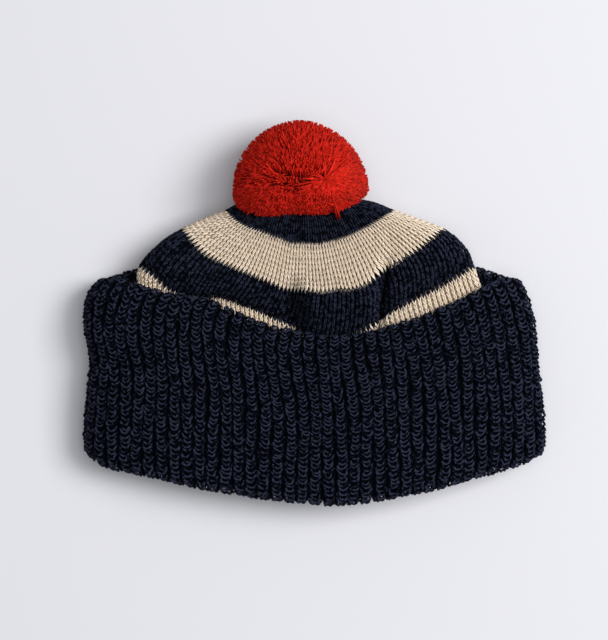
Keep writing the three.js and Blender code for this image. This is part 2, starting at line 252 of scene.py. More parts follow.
def laySurface(spots):
    # a surface through rows of spots: its points, its normals and its mean length along the knit
    rows = np.array([spotRow(spot, gridTurns, hatSizes) for spot in spots])
    along = np.gradient(rows, axis=0)
    around = np.roll(rows, -1, axis=1) - np.roll(rows, 1, axis=1)
    normals = unit(np.cross(along, around))
    steps = np.linalg.norm(np.diff(rows, axis=0), axis=-1)
    mean = steps[:, ::gridPerRib].mean(axis=1)
    return {'rows': rows, 'normals': normals, 'lengths': np.concatenate([[0], np.cumsum(mean)])}


def onSurface(surface, turn, distance, height):
    # maps knit coordinates onto the surface
    rows, normals, lengths = surface['rows'], surface['normals'], surface['lengths']
    r = np.interp(distance, lengths, np.arange(len(lengths)))
    c = (turn % 1) * rows.shape[1]
    r0 = np.clip(np.floor(r).astype(int), 0, len(rows) - 2)
    c0 = np.floor(c).astype(int) % rows.shape[1]
    c1 = (c0 + 1) % rows.shape[1]
    fr, fc = (r - r0)[:, None], (c - np.floor(c))[:, None]

    def blend(grid):
        low = grid[r0, c0] * (1 - fc) + grid[r0, c1] * fc
        high = grid[r0 + 1, c0] * (1 - fc) + grid[r0 + 1, c1] * fc
        return low * (1 - fr) + high * fr

    return blend(rows) + unit(blend(normals)) * height[:, None]


def spaced(start, end, count):
    return np.linspace(start, end, count)


def onSkin(skin, levels, depth=0, floor=0):
    return [(skin, level, 0, depth, floor) for level in levels]


def mouthFold():
    # round the fold at the mouth, from the inside to the outside
    r = foldThickness / 2
    return [(turnUpSkin, 0, r - r * math.sin(a), r + r * math.cos(a), 0) for a in spaced(0, math.pi, 9)]


def rimFold(count):
    # over the rim, from the outside to the pocket
    r = hatSizes['wall'] / 2
    return [(turnUpSkin, rimLevel, -r + r * math.sin(a), r - r * math.cos(a), 0)
            for a in spaced(0, math.pi, count)]


def turnUpSpots():
    # inside the mouth, round the fold, up the outside, over the rim and into the pocket
    wall = hatSizes['wall']
    return [
        *onSkin(bodySkin, spaced(0.30, 0.06, 7), wall, foldThickness),
        *mouthFold(),
        *onSkin(turnUpSkin, spaced(0.06, rimLevel * 0.97, 30)),
        *rimFold(9),
        *onSkin(turnUpSkin, spaced(rimLevel * 0.93, rimLevel * 0.7, 4), wall, wall),
    ]


turnUpSurface = laySurface(turnUpSpots())
crownLevels = spaced(0.5, 0.995, 70)
crownSurface = laySurface(onSkin(bodySkin, crownLevels))
# the solids stand where the frame puts them: the turn-up is laid into its box
laid = turnUpSurface['rows']
place = np.array([
    (cuffBox[0][0] + cuffBox[1][0]) / 2 - (laid[..., 0].min() + laid[..., 0].max()) / 2,
    cuffBox[0][1] - laid[..., 1].min(),
    0,
])
print('place', place)
print('surfaces laid')

# one stitch: a loop of yarn, open towards the pompom, its ends under the next loop.
# reach, length, bend and sweep shape it from above; its crest is lifted, its middle
# sinks and its ends are tucked down; tooth is how far a stripe's first row reaches down
stitchSizes = {
    'turnUp': {
        'columns': 76, 'pitch': 0.0069, 'row': 0.0027,
        'reach': 0.0027, 'length': 0.0039, 'bend': 0.60, 'sweep': 1.7,
        'crest': 0.0014, 'sink': 0.0006, 'tuck': 0.0021,
        'yarn': 0.00066, 'squash': 0.95, 'sides': 5, 'steps': 6,
        'tooth': 0, 'loose': 1.2,
    },
    'crown': {
        'columns': 152, 'pitch': 0.0030, 'row': 0.0025,
        'reach': 0.00082, 'length': 0.0040, 'bend': 0.62, 'sweep': 1.15,
        'crest': 0.0014, 'sink': 0.0003, 'tuck': 0.0018,
        'yarn': 0.00054, 'squash': 1.0, 'sides': 4, 'steps': 4,
        'tooth': 0.0013, 'loose': 0.5,
    },
    'shoulder': 0.36,
}

# how far stitches stray: drift, ripple, lean, width and sway as shares, the rest in metres
strays = {
    'drift': 0.07,
    'driftLength': 0.016,
    'ripple': 0.02,
    'rippleLength': 0.0047,
    'lean': 0.10,
    'width': 0.07,
    'sway': 0.03,
    'slide': 0.00022,
    'lift': 0.0002,
    'seat': 0.0009,
}


def loopPath(t, s):
    # centre line of the loop from end to end, t from -1 to 1
    far, high = np.abs(t), stitchSizes['shoulder']
    return np.stack([
        np.sign(t) * s['reach'] * far ** s['bend'],
        s['length'] * (far ** s['sweep'] - 0.5),
        s['crest'] - s['sink'] * np.clip(1 - far / high, 0, 1) ** 2
        - s['tuck'] * np.clip((far - high) / (1 - high), 0, 1) ** 2,
    ], axis=-1)


def makeStitch(s):
    # rolls a grid into a tube round the loop, and reads it back as arrays
    sides, steps = s['sides'], s['steps']
    bpy.ops.mesh.primitive_grid_add(x_subdivisions=sides, y_subdivisions=steps, size=1)
    loop = bpy.context.object
    bpy.ops.object.mode_set(mode='EDIT')
    bpy.ops.mesh.select_all(action='SELECT')
    bpy.ops.mesh.quads_convert_to_tris()
    bpy.ops.object.mode_set(mode='OBJECT')
    mesh = loop.data
    flat = np.empty(len(mesh.vertices) * 3)
    mesh.vertices.foreach_get('co', flat)
    flat = flat.reshape(-1, 3)
    t = 2 * flat[:, 1]
    around = 2 * math.pi * flat[:, 0]
    centre = loopPath(t, s)
    heading = unit(loopPath(np.minimum(t + 0.05, 1), s) - loopPath(np.maximum(t - 0.05, -1), s))
    side = unit(np.cross(heading, [0, 0, 1]))
    above = np.cross(side, heading)
    ring = side * np.cos(around)[:, None] + s['squash'] * above * np.sin(around)[:, None]
    verts = centre + s['yarn'] * ring
    tris = np.array([list(face.vertices) for face in mesh.polygons])
    uvs = np.array([mesh.uv_layers[0].data[i].uv[:] for face in mesh.polygons for i in face.loop_indices])
    bpy.data.objects.remove(loop)
    # the seam's two edges become one, and both ends are closed
    column = np.round((flat[:, 0] + 0.5) * sides).astype(int) % sides
    line = np.round((flat[:, 1] + 0.5) * steps).astype(int)
    first, shared = np.unique(line * sides + column, return_index=True, return_inverse=True)[1:]
    verts, centre, tris = verts[first], centre[first], shared.ravel()[tris]
    uvs = uvs.reshape(-1, 3, 2) * [1, 0.88] + [0, 0.06]
    ring = np.arange(1, sides - 1)
    for start, low, high in ((0, 0.0, 0.05), (steps * sides, 1.0, 0.95)):
        tris = np.concatenate([tris, np.stack([0 * ring, ring, ring + 1], axis=-1) + start])
        cap = np.stack([[(0, low), (k / sides, high), ((k + 1) / sides, high)] for k in ring])
        uvs = np.concatenate([uvs, cap])
    middle = centre.copy()
    middle[:sides] = centre[sides:2 * sides]
    middle[-sides:] = centre[-2 * sides:-sides]
    corners = verts[tris]
    outward = np.cross(corners[:, 1] - corners[:, 0], corners[:, 2] - corners[:, 0])
    inward = np.sum(outward * (corners.mean(axis=1) - middle[tris].mean(axis=1)), axis=1) < 0
    tris[inward] = tris[inward, ::-1]
    uvs[inward] = uvs[inward, ::-1]
    return verts, tris, uvs.reshape(-1, 2)


def meshFrom(name, verts, faces, uvLayers):
    mesh = bpy.data.meshes.new(name)
    mesh.from_pydata(verts.tolist(), [], faces.tolist())
    for layerName, uvs in uvLayers.items():
        layer = mesh.uv_layers.new(name=layerName)
        layer.data.foreach_set('uv', np.ascontiguousarray(uvs, dtype=np.float32).ravel())
    mesh.polygons.foreach_set('use_smooth', np.ones(len(mesh.polygons), dtype=bool))
    piece = bpy.data.objects.new(name, mesh)
    bpy.context.scene.collection.objects.link(piece)
    return piece


stitches = {kind: makeStitch(stitchSizes[kind]) for kind in ('turnUp', 'crown')}


def knitPiece(name, kind, surface, start, end, turnFrom, turnTo, seed):
    # loops in columns and rows, laid onto the surface as one mesh; columns wander a little
    rng = np.random.default_rng(seed)
    s = stitchSizes[kind]
    columns = s['columns']
    rowCount = max(int(round((end - start) / s['row'])), 1)
    rowPitch = (end - start) / rowCount
    columnList = np.arange(math.ceil(turnFrom * columns), math.ceil(turnTo * columns))
    column, row = np.meshgrid(columnList, np.arange(rowCount), indexing='ij')
    column, row = column.ravel(), row.ravel()
    level = start + (row + 0.5) * rowPitch + s['tooth'] / 2
    centre = onSurface(surface, column / columns, level, np.zeros(len(column)))
    beside = onSurface(surface, (column + 0.5) / columns, level, np.zeros(len(column)))
    width = 2 * np.linalg.norm(beside - centre, axis=1)
    # stitches lie flatter where the columns crowd together
    thin = np.clip(width / s['pitch'], 0.35, 1.1) ** 0.7
    jitter = s['loose'] * rng.normal(0, 1, (5, len(column)))
    shape, tris, uvs = stitches[kind]
    n = len(shape)
    wander = strays['drift'] * s['loose'] * np.sin(level / strays['driftLength'] + 5 * np.sin(0.37 * column))
    wander = wander + strays['ripple'] * np.sin(level / strays['rippleLength'] + 1.7 * column)
    lean = strays['lean'] * jitter[4][:, None] * shape[None, :, 1] / s['length']
    a = shape[None, :, 0] / s['pitch'] * (1 + strays['width'] * jitter[0][:, None])
    a = a + strays['sway'] * jitter[1][:, None] + lean
    b = shape[None, :, 1] * rowPitch / s['row'] + strays['slide'] * jitter[2][:, None]
    # the first row's loops reach down over the colour below
    reachDown = s['tooth'] * (0.6 + 0.6 * rng.random(len(column))) * (row == 0)
    b -= reachDown[:, None] * np.clip(-2 * shape[None, :, 1] / s['length'], 0, 1)
    turn = (column[:, None] + wander[:, None] + a) / columns
    distance = level[:, None] + b
    height = shape[None, :, 2] * thin[:, None] + strays['lift'] * jitter[3][:, None] - strays['seat']
    verts = onSurface(surface, turn.ravel(), distance.ravel(), height.ravel()) + place
    faces = (tris[None] + (np.arange(len(column)) * n)[:, None, None]).reshape(-1, 3)
    cell = np.stack([(column - columnList[0]) / len(columnList), row / rowCount], axis=-1)
    size = np.array([cellShare / len(columnList), cellShare / rowCount])
    bake = (cell[:, None, :] + uvs[None] * size).reshape(-1, 2)
    yarn = np.tile(uvs, (len(column), 1))
    verts[:, 2] = np.maximum(verts[:, 2], tableGaps['stitch'])
    return meshFrom(name, verts, faces, {'OFBake': bake, 'yarn': yarn})


def shellPiece(name, runs, closeEnds=False):
    # the closed wall under the stitches; its runs of spots go all the way round its section,
    # each with how deep it lies under its surface and how high its ribs are
    spots = [spot for run, _ in runs for spot in run]
    sinks = [sink for run, sink in runs for _ in run]
    rows = np.array([spotRow(spot, gridTurns, hatSizes) for spot in spots])[:, ::gridPerRib // wallPerRib]
    loop = rows if closeEnds else np.concatenate([rows, rows[:1]])
    bpy.ops.mesh.primitive_grid_add(x_subdivisions=rows.shape[1], y_subdivisions=len(loop) - 1, size=1)
    piece = bpy.context.object
    piece.name = piece.data.name = name
    mesh = piece.data
    flat = np.empty(len(mesh.vertices) * 3)
    mesh.vertices.foreach_get('co', flat)
    flat = flat.reshape(-1, 3)
    column = np.round((flat[:, 0] + 0.5) * rows.shape[1]).astype(int)
    line = np.round((flat[:, 1] + 0.5) * (len(loop) - 1)).astype(int)
    around = np.roll(rows, -1, axis=1) - np.roll(rows, 1, axis=1)
    along = np.gradient(loop, axis=0) if closeEnds else np.gradient(
        np.concatenate([rows[-1:], loop, rows[1:2]]), axis=0)[1:-1]
    aroundLoop = around if closeEnds else np.concatenate([around, around[:1]])
    normals = unit(np.cross(along, aroundLoop))
    wave = np.cos(2 * math.pi * hatSizes['ribs'] * np.arange(rows.shape[1]) / rows.shape[1])
    sinkRows = np.array(sinks + ([] if closeEnds else sinks[:1]))
    height = -sinkRows[:, :1] + sinkRows[:, 1:] * wave[None, :]
    shaped = loop + normals * height[..., None] + place
    shaped[..., 2] = np.maximum(shaped[..., 2], tableGaps['wall'])
    mesh.vertices.foreach_set('co', shaped[line, column % rows.shape[1]].ravel())
    mesh.uv_layers[0].name = 'OFBake'
    bpy.ops.object.mode_set(mode='EDIT')
    bpy.ops.mesh.select_all(action='SELECT')
    bpy.ops.mesh.remove_doubles(threshold=0.00002)
    bpy.ops.mesh.normals_make_consistent(inside=False)
    bpy.ops.object.mode_set(mode='OBJECT')
    bpy.ops.object.shade_smooth()
    bpy.ops.object.select_all(action='DESELECT')
    return piece


def dress(piece, node, material):
    piece.data.materials.clear()
    piece.data.materials.append(material)
    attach(piece, 'root')
    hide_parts(node)
    return piece


def fibreGroup():
    # fine fibre noise: a tint mask and a height
    group = bpy.data.node_groups.new('woolFibre', 'ShaderNodeTree')
    group.interface.new_socket(name='Vector', in_out='INPUT', socket_type='NodeSocketVector')
    for name, side in (('Scale', 'INPUT'), ('Streak', 'INPUT'), ('Tint', 'OUTPUT'), ('Height', 'OUTPUT')):
        group.interface.new_socket(name=name, in_out=side, socket_type='NodeSocketFloat')
    nodes, links = group.nodes, group.links
    inputs = nodes.new('NodeGroupInput')
    outputs = nodes.new('NodeGroupOutput')
    fine = nodes.new('ShaderNodeTexNoise')
    fine.inputs['Detail'].default_value = 6
    fine.inputs['Roughness'].default_value = 0.65
    broad = nodes.new('ShaderNodeTexNoise')
    broad.inputs['Scale'].default_value = 420
    broad.inputs['Detail'].default_value = 3
    mix = nodes.new('ShaderNodeMath')
    mix.operation = 'MULTIPLY_ADD'
    links.new(inputs.outputs['Vector'], fine.inputs['Vector'])
    links.new(inputs.outputs['Vector'], broad.inputs['Vector'])
    links.new(inputs.outputs['Scale'], fine.inputs['Scale'])
    links.new(fine.outputs['Fac'], mix.inputs[0])
    links.new(inputs.outputs['Streak'], mix.inputs[1])
    links.new(broad.outputs['Fac'], mix.inputs[2])
    links.new(mix.outputs['Value'], outputs.inputs['Tint'])
    links.new(fine.outputs['Fac'], outputs.inputs['Height'])
    return group


woolFibre = fibreGroup()


def woolMaterial(name, dark, light, look):
    # yarn with two plies twisted together, fine fibres, a soft sheen, and with the plies a painted highlight
    # on each loop's middle and painted shade on its ends
    material = bpy.data.materials.new(name)
    material.use_nodes = True
    nodes, links = material.node_tree.nodes, material.node_tree.links
    shader = nodes['Principled BSDF']
    coords = nodes.new('ShaderNodeTexCoord')
    fibre = nodes.new('ShaderNodeGroup')
    fibre.node_tree = woolFibre
    fibre.inputs['Scale'].default_value = look['fibreScale']
    fibre.inputs['Streak'].default_value = 0.6
    links.new(coords.outputs['Object'], fibre.inputs['Vector'])
    ramp = nodes.new('ShaderNodeValToRGB')
    ramp.color_ramp.elements[0].position = look['low']
    ramp.color_ramp.elements[0].color = (*dark, 1)
    ramp.color_ramp.elements[1].position = look['high']
    ramp.color_ramp.elements[1].color = (*light, 1)
    links.new(fibre.outputs['Tint'], ramp.inputs['Fac'])
    links.new(ramp.outputs['Color'], shader.inputs['Base Color'])
    bump = nodes.new('ShaderNodeBump')
    bump.inputs['Strength'].default_value = look['bump']
    bump.inputs['Distance'].default_value = 0.0006
    height = fibre.outputs['Height']
    if look['plies']:
        yarnMap = nodes.new('ShaderNodeUVMap')
        yarnMap.uv_map = 'yarn'
        turned = nodes.new('ShaderNodeMapping')
        turned.inputs['Rotation'].default_value = (0, 0, math.radians(38))
        turned.inputs['Scale'].default_value = (1.0, 1.6, 1.0)
        wave = nodes.new('ShaderNodeTexWave')
        wave.inputs['Scale'].default_value = look['plies']
        wave.inputs['Distortion'].default_value = 1.5
        add = nodes.new('ShaderNodeMath')
        add.operation = 'ADD'
        links.new(yarnMap.outputs['UV'], turned.inputs['Vector'])
        links.new(turned.outputs['Vector'], wave.inputs['Vector'])
        links.new(wave.outputs['Fac'], add.inputs[0])
        links.new(fibre.outputs['Height'], add.inputs[1])
        height = add.outputs['Value']
        # painted shade on a loop's ends and a painted highlight on its middle, from the place along the yarn
        # map
        ends = nodes.new('ShaderNodeSeparateXYZ')
        middle = nodes.new('ShaderNodeMath')
        middle.operation = 'PINGPONG'
        middle.inputs[1].default_value = 0.5
        lift = nodes.new('ShaderNodeMath')
        lift.operation = 'MULTIPLY_ADD'
        lift.inputs[1].default_value = look['ends']
        links.new(yarnMap.outputs['UV'], ends.inputs['Vector'])
        links.new(ends.outputs['Y'], middle.inputs[0])
        links.new(middle.outputs['Value'], lift.inputs[0])
        links.new(fibre.outputs['Tint'], lift.inputs[2])
        links.new(lift.outputs['Value'], ramp.inputs['Fac'])
    links.new(height, bump.inputs['Height'])
    links.new(bump.outputs['Normal'], shader.inputs['Normal'])
    shader.inputs['Roughness'].default_value = look['roughness']
    shader.inputs['Specular IOR Level'].default_value = look['specular']
    shader.inputs['Sheen Weight'].default_value = look['sheen']
    shader.inputs['Sheen Roughness'].default_value = 0.45
    shader.inputs['Sheen Tint'].default_value = (*look['sheenTint'], 1)
    return material


# low and high place the dark and light colours in the fibre noise; the end share paints a highlight on a
# loop's middle and shade on its ends, where they tuck under the next loop
navyLook = {
    'ends': 0.5, 'low': 0.90, 'high': 1.18, 'fibreScale': 1300, 'bump': 0.5, 'plies': 1.6,
    'roughness': 0.7, 'specular': 0.03, 'sheen': 0.02, 'sheenTint': (0.6, 0.65, 0.85),
}
creamLook = {
    'ends': 0.4, 'low': 0.74, 'high': 1.10, 'fibreScale': 1300, 'bump': 0.45, 'plies': 1.6,
    'roughness': 0.85, 'specular': 0.10, 'sheen': 0.05, 'sheenTint': (1.0, 0.93, 0.82),
}
redLook = {
    'ends': 0.0, 'low': 0.66, 'high': 0.98, 'fibreScale': 1500, 'bump': 0.4, 'plies': 2.2,
    'roughness': 0.8, 'specular': 0.06, 'sheen': 0.04, 'sheenTint': (1.0, 0.3, 0.2),
}
navyWool =woolMaterial('navyWool', (0.0005, 0.0010, 0.0038), (0.0215, 0.0260, 0.0475), navyLook)
creamWool = woolMaterial('creamWool', (0.72, 0.59, 0.45), (0.83, 0.70, 0.55), creamLook)
redWool = woolMaterial('redWool', (0.42, 0.009, 0.003), (0.72, 0.022, 0.012), redLook)
# the walls and the heart have no plies and are painted darker: painted shade for the gaps between and under
# the stitches and for deep inside the pompom
navyBase, creamBase, redBase = ({**look, 'plies': 0} for look in (navyLook, creamLook, redLook))
navyPaintedShade = woolMaterial('navyPaintedShade', (0.0003, 0.0007, 0.0028), (0.0009, 0.0016, 0.0056), navyBase)
creamPaintedShade = woolMaterial('creamPaintedShade', (0.56, 0.45, 0.33), (0.68, 0.56, 0.43), creamBase)
redPaintedShade = woolMaterial('redPaintedShade', (0.045, 0.001, 0.0008), (0.085, 0.002, 0.0015), redBase)
print('materials made')

# how deep a wall lies under its surface, and how high its ribs are
outerSink = [0.0020, 0.0008]
crownSink = [0.0020, 0.0003]
innerSink = [0.0004, 0.0004]
flatSink = [0.0, 0.0]


def buildCuff():
    wall = hatSizes['wall']
    inset = wall + hatSizes['pocketGap']
    top = hatSizes['coveredTop']
    # inside of the covered layer, fold, outside of the turn-up, rim, then both sides of the pocket
    runs = [
        (onSkin(bodySkin, spaced(top, 0.05, 16), wall, foldThickness), innerSink),
        (mouthFold(), outerSink),
        (onSkin(turnUpSkin, spaced(0.055, rimLevel * 0.975, 24)), outerSink),
        (rimFold(7), outerSink),
        (onSkin(turnUpSkin, spaced(rimLevel * 0.96, 0.07, 10), wall, wall), flatSink),
        (onSkin(bodySkin, spaced(0.09, top, 8), 0, inset), flatSink),
    ]
    # the cuff's wall is painted a darker navy: painted shade between the stitches
    dress(shellPiece('cuffWall', runs), 'cuff', navyPaintedShade)
    lengths = turnUpSurface['lengths']
    start, end = lengths[1], lengths[-2]
    for name, low, high, seed in (('cuffFrontKnit', 0.0, 0.5, 3), ('cuffBackKnit', 0.5, 1.0, 4)):
        piece = knitPiece(name, 'turnUp', turnUpSurface, start, end, low, high, seed)
        dress(piece, 'cuff', navyWool)
        print(name, len(piece.data.polygons), 'faces')


def crownDistance(level):
    return np.interp(level, crownLevels, crownSurface['lengths'])


# the last levels of the tip's wall and stitches, and the lip inside the wall below each stripe
stripeSizes = {
    'wallEnd': 0.997,
    'innerEnd': 0.975,
    'knitEnd': 0.985,
    'lip': 0.008,
    'lipShares': (0.62, 0.45),
}


def buildStripe(name, node, low, high, knit, paintedShadeMaterial, slotName, seed):
    s = stripeSizes
    wall = hatSizes['wall']
    levels = spaced(low, min(high, s['wallEnd']), 12)
    outside = onSkin(bodySkin, levels)
    # the lip keeps light out of the joint
    lip = [(bodySkin, low - s['lip'], 0, wall * share, 0) for share in s['lipShares']]
    if high < 1:
        inside = onSkin(bodySkin, levels[::-1], wall)
        piece = shellPiece(name + 'Wall', [(outside, crownSink), (inside, innerSink), (lip, flatSink)])
    else:
        runs = [
            (onSkin(bodySkin, [1.0], wall), flatSink),
            (onSkin(bodySkin, spaced(s['innerEnd'], low, 8), wall), innerSink),
            (lip, flatSink),
            (outside + onSkin(bodySkin, [1.0]), crownSink),
        ]
        piece = shellPiece(name + 'Wall', runs, closeEnds=True)
    # the stripe's wall is painted darker: painted shade between the stitches
    dress(piece, node, paintedShadeMaterial)
    end = crownDistance(min(high, s['knitEnd']))
    piece = knitPiece(name + 'Knit', 'crown', crownSurface, crownDistance(low), end, 0.0, 1.0, seed)
    dress(piece, node, knit)
    print(name, len(piece.data.polygons), 'faces')


def buildCrown():
    s = hatSizes
    cream = creamWool, creamPaintedShade, 'cream_wool'
    navy = navyWool, navyPaintedShade, 'navy_wool'
    buildStripe('lowerCream', 'lower_cream_stripe', s['coveredTop'], s['lowerCreamTop'], *cream, 5)
    buildStripe('navyBand', 'navy_stripe', s['lowerCreamTop'], s['navyTop'], *navy, 6)
    buildStripe('upperCream', 'upper_cream_stripe', s['navyTop'], s['upperCreamTop'], *cream, 7)
    buildStripe('crownTip', 'crown_tip', s['upperCreamTop'], 1.0, *navy, 8)


# the pompom: cut yarn standing out of a ball, creased on the left and fanned on the right
pompomSizes = {
    'upperShare': 0.69,
    'rightTrim': (0.05, 0.12),  # of the radii, above and below the widest line
    'notch': (0.13, -0.08, 0.26),  # depth, place and width of the dent in the lower edge
    'heart': 0.78,
    'heartScatter': 0.04,
    'frontStrands': 9400,
    'backStrands': 2200,
    'frontYarn': 0.00050,
    'backYarn': 0.0010,
    'frontScatter': 0.012,
    'backScatter': 0.02,
    'rootShare': 0.60,  # of the radii, where strands start
    'bowShare': 0.84,  # and where they bow
    'bowScatter': 0.0005,
    'reach': 0.98,
    'reachScatter': 0.03,
    'ragged': 0.05,  # strands that stand out of the lower edge
    'fanStrands': 560,
    'fanYarn': 0.00070,
    'fanAngle': (-35, 50),  # middle and spread, in degrees
    'fanReach': (0.22, 0.68),
    'creaseFrom': (-0.42, 0.26),
    'creaseTo': (0.14, 0.15),
    'creaseWidth': 0.06,
    'creasePush': 0.045,
    'whorl': (0.42, 0.13),
    'whorlWidth': 0.34,
    'whorlPush': 0.09,
    'sweep': 0.20,
    'tufts': 340,
    'tuftScatter': 0.04,
    'tuftPull': 0.36,
    'tipScatter': 0.045,
    'looseStrands': 9,
    'looseTip': (0.0215, -0.0168, 0.010),
    'looseScatter': 0.0009,
    'crownNear': 0.004,
    'crownMargin': 0.001,
    'seed': 11,
}


def pompomRadii(direction):
    low, high = pompomBox
    size = high - low
    share = pompomSizes['upperShare']
    square = np.abs(direction[:, :2]) ** 3
    boxy = np.linalg.norm(direction[:, :2], axis=1) / np.maximum(square.sum(axis=1) ** (1 / 3), 1e-6)
    ry = np.where(direction[:, 1] > 0, size[1] * share, size[1] * (1 - share))
    grow = np.where((direction[:, 1] > 0) | (direction[:, 0] > 0), 1, boxy)
    right = np.clip(direction[:, 0], 0, 1) * np.abs(direction[:, 1])
    grow = grow * (1 - np.where(direction[:, 1] > 0, *pompomSizes['rightTrim']) * right)
    depth, spot, width = pompomSizes['notch']
    ry = ry * (1 - depth * (direction[:, 1] < 0) * np.exp(-((direction[:, 0] - spot) / width) ** 2))
    return np.stack([size[0] / 2 * grow, ry * grow, np.full(len(direction), size[2] / 2)], axis=-1)


def pompomCentre():
    low, high = pompomBox
    size = high - low
    widest = high[1] - size[1] * pompomSizes['upperShare']
    return np.array([(low[0] + high[0]) / 2, widest, (low[2] + high[2]) / 2])


def spread(count):
    # directions spread evenly over a ball
    golden = math.pi * (3 - math.sqrt(5))
    i = np.arange(count)
    z = 1 - (2 * i + 1) / count
    ring = np.sqrt(1 - z * z)
    return np.stack([np.cos(golden * i) * ring, np.sin(golden * i) * ring, z], axis=-1)


def combed(tips):
    # strands lean away from the crease and the whorl, and hang down below them
    p = pompomSizes
    a, b, c = np.array(p['creaseFrom']), np.array(p['creaseTo']), np.array(p['whorl'])
    flat = tips[:, :2]
    t = np.clip(((flat - a) @ (b - a)) / ((b - a) @ (b - a)), 0, 1)
    fromCrease = flat - (a + t[:, None] * (b - a))
    fromWhorl = flat - c

    def away(offset, push, width):
        gap = np.linalg.norm(offset, axis=1)[:, None]
        return offset / np.maximum(gap, 1e-6) * push * np.exp(-(gap / width) ** 2)

    move = away(fromCrease, p['creasePush'], p['creaseWidth'])
    move += away(fromWhorl, p['whorlPush'], p['whorlWidth'])
    line = a[1] + (b[1] - a[1]) * (flat[:, 0] - a[0]) / (b[0] - a[0])
    move[:, 1] -= p['sweep'] * np.clip((line - flat[:, 1]) / 0.25, 0, 1)
    out = tips.copy()
    out[:, :2] += move * np.clip(1.5 * tips[:, 2:], 0, 1)
    return unit(out)


def curves(start, middle, end, steps):
    t = np.linspace(0, 1, steps)[None, :, None]
    return (1 - t) ** 2 * start[:, None] + 2 * t * (1 - t) * middle[:, None] + t ** 2 * end[:, None]


def yarnPiece(name, paths, width, rng):
    # three-sided strands along the paths, closed at both ends, in one mesh
    count, steps, _ = paths.shape
    sides = 3
    heading = unit(np.gradient(paths, axis=1))
    side = unit(np.cross(heading, rng.normal(0, 1, (count, 1, 3))))
    other = np.cross(heading, side)
    turns = np.arange(sides) / sides * 2 * math.pi
    taper = spaced(1.0, 0.75, steps)[None, :, None, None]
    thick = width * (0.8 + 0.4 * rng.random((count, 1, 1, 1))) * taper
    ring = (side[:, :, None] * np.cos(turns)[None, None, :, None]
            + other[:, :, None] * np.sin(turns)[None, None, :, None]) * thick
    verts = (paths[:, :, None] + ring).reshape(-1, 3)
    verts[:, 2] = np.maximum(verts[:, 2], tableGaps['strand'])
    faces, uvs = [], []
    for step in range(steps - 1):
        for k in range(sides):
            n = (k + 1) % sides
            low, high = step * sides, (step + 1) * sides
            faces += [[low + k, low + n, high + n], [low + k, high + n, high + k]]
            u0, u1 = k / sides, (k + 1) / sides
            v0, v1 = 0.9 * step / (steps - 1), 0.9 * (step + 1) / (steps - 1)
            uvs += [[[u0, v0], [u1, v0], [u1, v1]], [[u0, v0], [u1, v1], [u0, v1]]]
    last = (steps - 1) * sides
    faces += [[last, last + 1, last + 2], [2, 1, 0]]
    uvs += [[[0, 0.94], [0.5, 0.94], [0.5, 1]], [[0.6, 0.94], [1, 0.94], [1, 1]]]
    faces, uvs = np.array(faces), np.array(uvs, dtype=float).reshape(-1, 2)
    cells = int(math.ceil(math.sqrt(count)))
    cell = np.stack([np.arange(count) % cells, np.arange(count) // cells], axis=-1) / cells
    allFaces = (faces[None] + (np.arange(count) * steps * sides)[:, None, None]).reshape(-1, 3)
    bake = (cell[:, None] + uvs[None] * cellShare / cells).reshape(-1, 2)
    piece = meshFrom(name, verts, allFaces, {'OFBake': bake, 'yarn': np.tile(uvs, (count, 1))})
    dress(piece, 'pompom', redWool)
    print(name, len(piece.data.polygons), 'faces')


def crownTop():
    return crownSurface['rows'][..., 1].max() + place[1] + pompomSizes['crownMargin']


def insideCrown(points):
    # between the underside and the top of the crown's last rows, near the same place seen from above
    rows = crownSurface['rows'][50:]
    skin = rows[:, ::rows.shape[1] // 120].reshape(-1, 3) + place
    margin = pompomSizes['crownMargin']
    inside = np.zeros(len(points), dtype=bool)
    near = np.flatnonzero(points[:, 1] < skin[:, 1].max())
    gaps = np.hypot(*(points[near, None, :2] - skin[None, :, :2]).transpose(2, 0, 1))
    beside = gaps < pompomSizes['crownNear']
    low = np.where(beside, skin[:, 2], 1).min(axis=1)
    high = np.where(beside, skin[:, 2], -1).max(axis=1)
    inside[near] = (points[near, 2] > low + margin) & (points[near, 2] < high - margin)
    return inside


def pileStrands(name, roots, width, rng):
    # strands from the heart to the ball's surface, gathered in small tufts
    p = pompomSizes
    centre = pompomCentre()
    tufts = unit(spread(p['tufts']) + rng.normal(0, p['tuftScatter'], (p['tufts'], 3)))
    nearest = np.argmax(roots @ tufts.T, axis=1)
    pulled = roots + p['tuftPull'] * (tufts[nearest] - roots)
    tips = combed(unit(pulled + rng.normal(0, p['tipScatter'], roots.shape)))
    reach = p['reach'] + p['reachScatter'] * rng.normal(0, 1, len(tips)).clip(-2, 1.2)
    reach += p['ragged'] * rng.random(len(tips)) ** 3 * np.clip(-3 * tips[:, 1], 0, 1) * (tips[:, 2] > 0.2)
    start = centre + roots * p['rootShare'] * pompomRadii(roots)
    end = centre + tips * reach[:, None] * pompomRadii(tips)
    half = unit(roots * 0.55 + tips * 0.45)
    middle = centre + half * p['bowShare'] * pompomRadii(half) + rng.normal(0, p['bowScatter'], roots.shape)
    # the crown's tip stands in the ball: strands spring from beyond it, and none ends in it
    start[:, 1] = np.maximum(start[:, 1], crownTop())
    yarnPiece(name, curves(start, middle, end, 4)[~insideCrown(end)], width, rng)


